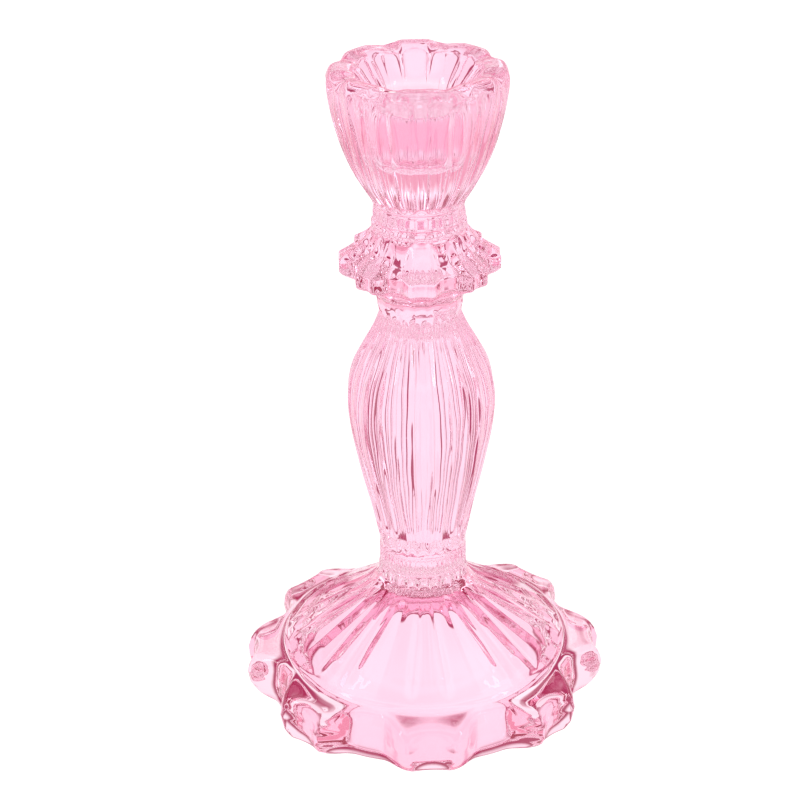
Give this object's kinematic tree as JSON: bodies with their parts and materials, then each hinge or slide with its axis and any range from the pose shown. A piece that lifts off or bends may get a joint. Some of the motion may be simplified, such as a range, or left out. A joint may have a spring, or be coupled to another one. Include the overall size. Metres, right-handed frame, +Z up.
{
  "type": "candlestick",
  "caption": "Pressed glass candlestick: a scalloped cup for a taper candle on a fluted stem, a lobed collar and a wide lobed foot",
  "frame": {"origin": "middle of the flat face that the foot stands on", "axes": "+Z up the stem to the rim of the cup; one of the eight points of the pattern faces -Y"},
  "size_m": [0.1032, 0.1032, 0.1877],
  "materials": {
    "pink_glass": "fire-polished, clear, tinted pale pink"
  },
  "bodies": {
    "root": {"foot": "pink_glass", "foot_ring": "pink_glass", "stem": "pink_glass", "collar": "pink_glass", "neck_ring": "pink_glass", "candle_cup": "pink_glass"}
  },
  "joints": []
}
